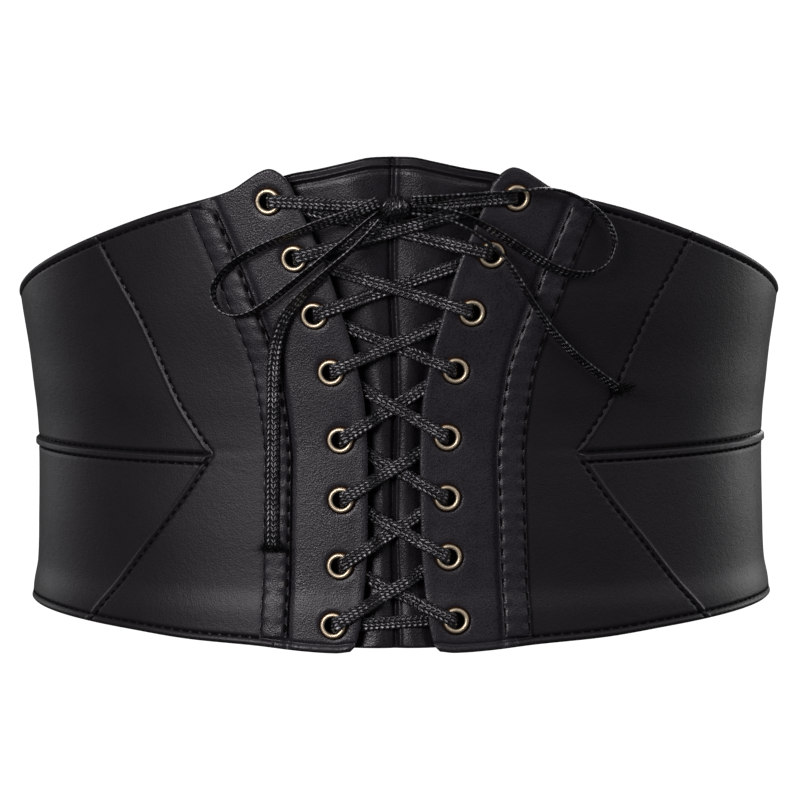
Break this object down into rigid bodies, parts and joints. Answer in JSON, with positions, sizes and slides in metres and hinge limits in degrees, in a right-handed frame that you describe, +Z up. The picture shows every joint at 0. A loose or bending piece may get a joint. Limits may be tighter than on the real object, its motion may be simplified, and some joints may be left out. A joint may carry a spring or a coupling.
{
  "type": "laced corset belt",
  "caption": "Waist-cinching corset belt of faux leather with a laced front, padded tongue, boning casings, side panels and an elastic back.",
  "frame": {"origin": "middle of the waist opening at the height of the waist seam", "axes": "+Z up along the opening, the laced front faces -Y, +X to the right of someone facing the front"},
  "size_m": [0.2544, 0.2011, 0.1561],
  "materials": {
    "smooth_leather": "smooth matte faux leather, black",
    "pebbled_leather": "pebbled faux leather, black",
    "elastic": "ribbed elastic, black",
    "eyelet_brass": "antique brass, polished rim",
    "lace": "waxed flat braid, black"
  },
  "bodies": {
    "root": {"placket_left": "pebbled_leather", "bone_casing_left": "pebbled_leather", "front_panel_left": "smooth_leather", "upper_side_panel_left": "smooth_leather", "lower_side_panel_left": "smooth_leather", "eyelet_left_1": "eyelet_brass", "eyelet_left_2": "eyelet_brass", "eyelet_left_3": "eyelet_brass", "eyelet_left_4": "eyelet_brass", "eyelet_left_5": "eyelet_brass", "eyelet_left_6": "eyelet_brass", "eyelet_left_7": "eyelet_brass", "eyelet_left_8": "eyelet_brass", "placket_right": "pebbled_leather", "bone_casing_right": "pebbled_leather", "front_panel_right": "smooth_leather", "upper_side_panel_right": "smooth_leather", "lower_side_panel_right": "smooth_leather", "eyelet_right_1": "eyelet_brass", "eyelet_right_2": "eyelet_brass", "eyelet_right_3": "eyelet_brass", "eyelet_right_4": "eyelet_brass", "eyelet_right_5": "eyelet_brass", "eyelet_right_6": "eyelet_brass", "eyelet_right_7": "eyelet_brass", "eyelet_right_8": "eyelet_brass", "tongue": "pebbled_leather", "back_panel": "elastic", "lacing": "lace", "bow_knot": "lace", "bow_loop_left": "lace", "bow_loop_right": "lace", "lace_tail_left": "lace", "lace_tail_right": "lace"}
  },
  "joints": []
}
